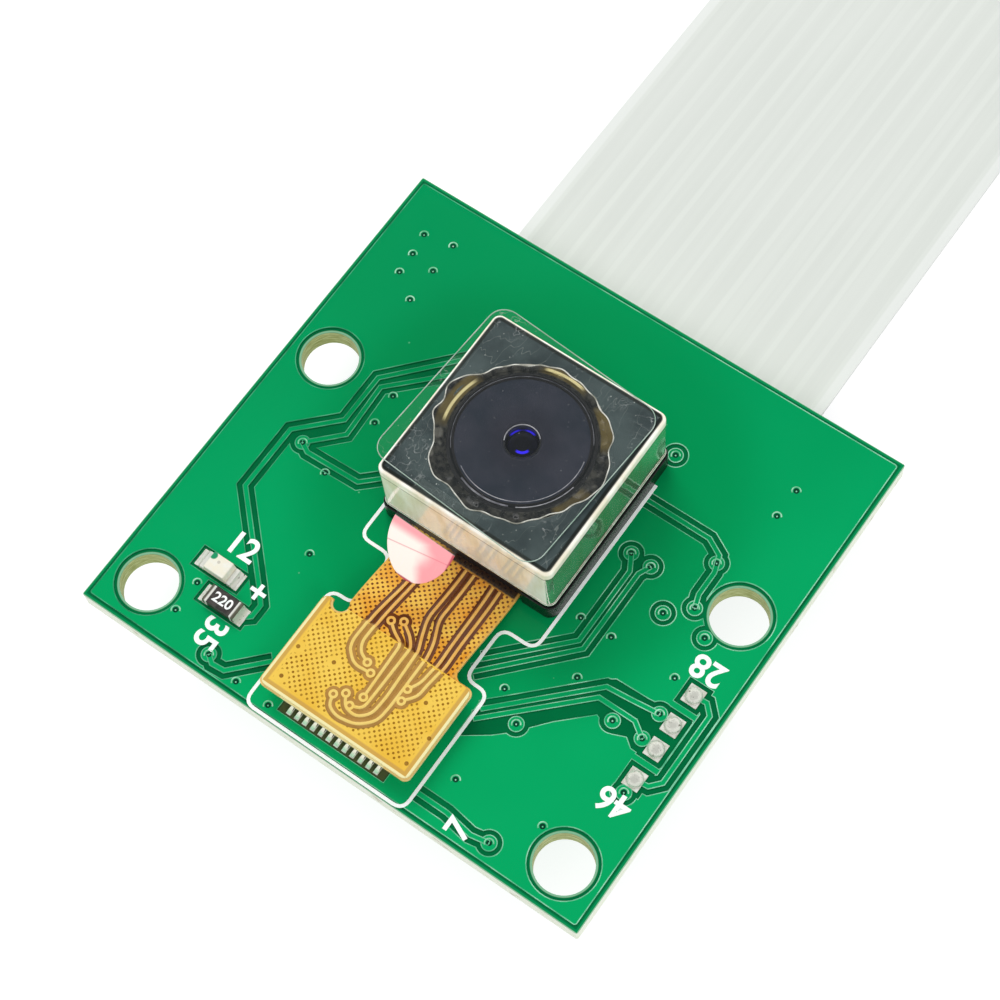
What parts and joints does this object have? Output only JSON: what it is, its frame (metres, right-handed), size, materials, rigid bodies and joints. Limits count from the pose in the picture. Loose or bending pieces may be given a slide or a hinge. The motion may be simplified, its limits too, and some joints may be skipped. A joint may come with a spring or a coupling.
{
  "type": "camera module",
  "caption": "Small green circuit board with a square metal-canned fixed-focus lens module on a folded amber flex, an LED, and a flat white ribbon in a latching connector behind.",
  "frame": {"origin": "centre of the board in plan, on the face that the part lies on, which is the back face of the ribbon connector", "axes": "+X across the board, +Y along the board towards the ribbon, +Z out through the lens"},
  "size_m": [0.025, 0.1695, 0.0082],
  "materials": {
    "board": "dark green lacquer over pale glass fibre, cut edges bare",
    "lacquer": "green lacquer over copper, glossy",
    "white_print": "white printed ink",
    "tin": "bright tin and solder",
    "led_white": "milky resin",
    "chip_black": "black glaze",
    "socket_ivory": "moulded ivory plastic",
    "gold": "gold flash over copper alloy",
    "amber": "amber film over hatched copper",
    "black_foam": "sticky foam",
    "steel": "plain steel",
    "silicon": "polished chip",
    "filter_glass": "coated glass",
    "lens_glass": "coated lens",
    "lens_black": "fine matt black moulding",
    "barrel_slate": "slate black moulding",
    "glue_olive": "hard clear glue",
    "bright_can": "polished drawn steel",
    "glue_black": "black epoxy",
    "clear_film": "clear film",
    "pink_tab": "pink film",
    "latch_brown": "dark brown moulding",
    "clock_ceramic": "fired ceramic",
    "capacitor_tan": "fired ceramic",
    "ribbon_white": "white flat ribbon",
    "backing_blue": "blue backing strip"
  },
  "bodies": {
    "board": {"circuit_board": "board", "ground_pour_front": "lacquer", "ground_pour_back": "lacquer", "traces_front": "lacquer", "traces_back": "lacquer", "via_rings": "lacquer", "printed_outline": "white_print", "solder_pads": "tin", "solder_bumps": "tin", "led_base": "led_white", "led_resin": "led_white", "chip_resistor": "chip_black", "chip_ends": "tin", "solder_fillets": "tin", "flex_socket": "socket_ivory", "socket_contacts": "gold", "flex_plug": "socket_ivory", "plug_contacts": "gold", "flex_cable": "amber", "flex_stiffener": "amber", "sticky_pad": "black_foam", "module_plate": "steel", "image_sensor": "silicon", "infrared_filter": "filter_glass", "lens_holder": "lens_black", "lens_barrel": "barrel_slate", "lens_front": "lens_glass", "lens_middle": "lens_glass", "lens_rear": "lens_glass", "lens_rings": "lens_black", "lens_retainer": "lens_black", "lens_glue": "glue_olive", "shield_can": "bright_can", "base_glue": "glue_black", "protective_film": "clear_film", "pull_tab": "pink_tab", "ribbon_housing": "socket_ivory", "connector_contacts": "gold", "connector_anchors": "tin", "regulators": "chip_black", "regulator_leads": "tin", "clock_base": "clock_ceramic", "clock_lid": "steel", "small_capacitors": "capacitor_tan", "small_resistors": "chip_black", "small_chip_ends": "tin", "ribbon": "ribbon_white", "ribbon_contacts": "tin", "ribbon_backings": "backing_blue"},
    "latch": {"ribbon_latch": "latch_brown"}
  },
  "joints": [
    {"name": "latch_slide", "type": "slide", "parent": "board", "child": "latch", "axis": [0, 1, 0], "range_m": [0, 0.0015]}
  ]
}
